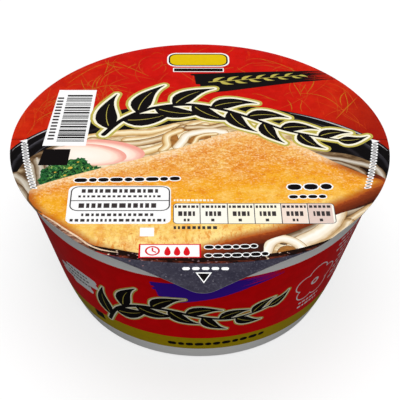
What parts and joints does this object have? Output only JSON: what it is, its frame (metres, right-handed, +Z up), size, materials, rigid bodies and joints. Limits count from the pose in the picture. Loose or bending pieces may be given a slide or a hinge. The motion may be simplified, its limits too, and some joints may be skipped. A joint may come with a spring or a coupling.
{
  "type": "instant noodle bowl",
  "caption": "Shut instant udon noodle bowl: a round tapered bowl with a printed side under a glued, printed paper lid with a pull tab.",
  "frame": {"origin": "centre of the bowl's base, on the bowl's axis, in the plane that the pack stands on", "axes": "+Z up along the bowl's axis; the lid's pull tab points along -Y, so the pack is longest along Y; +X to the right seen from the tab"},
  "size_m": [0.14, 0.1506, 0.0626],
  "materials": {
    "bowl": "satin",
    "lid": "satin"
  },
  "bodies": {
    "root": {"bowl": "bowl", "lid": "lid"}
  },
  "joints": []
}
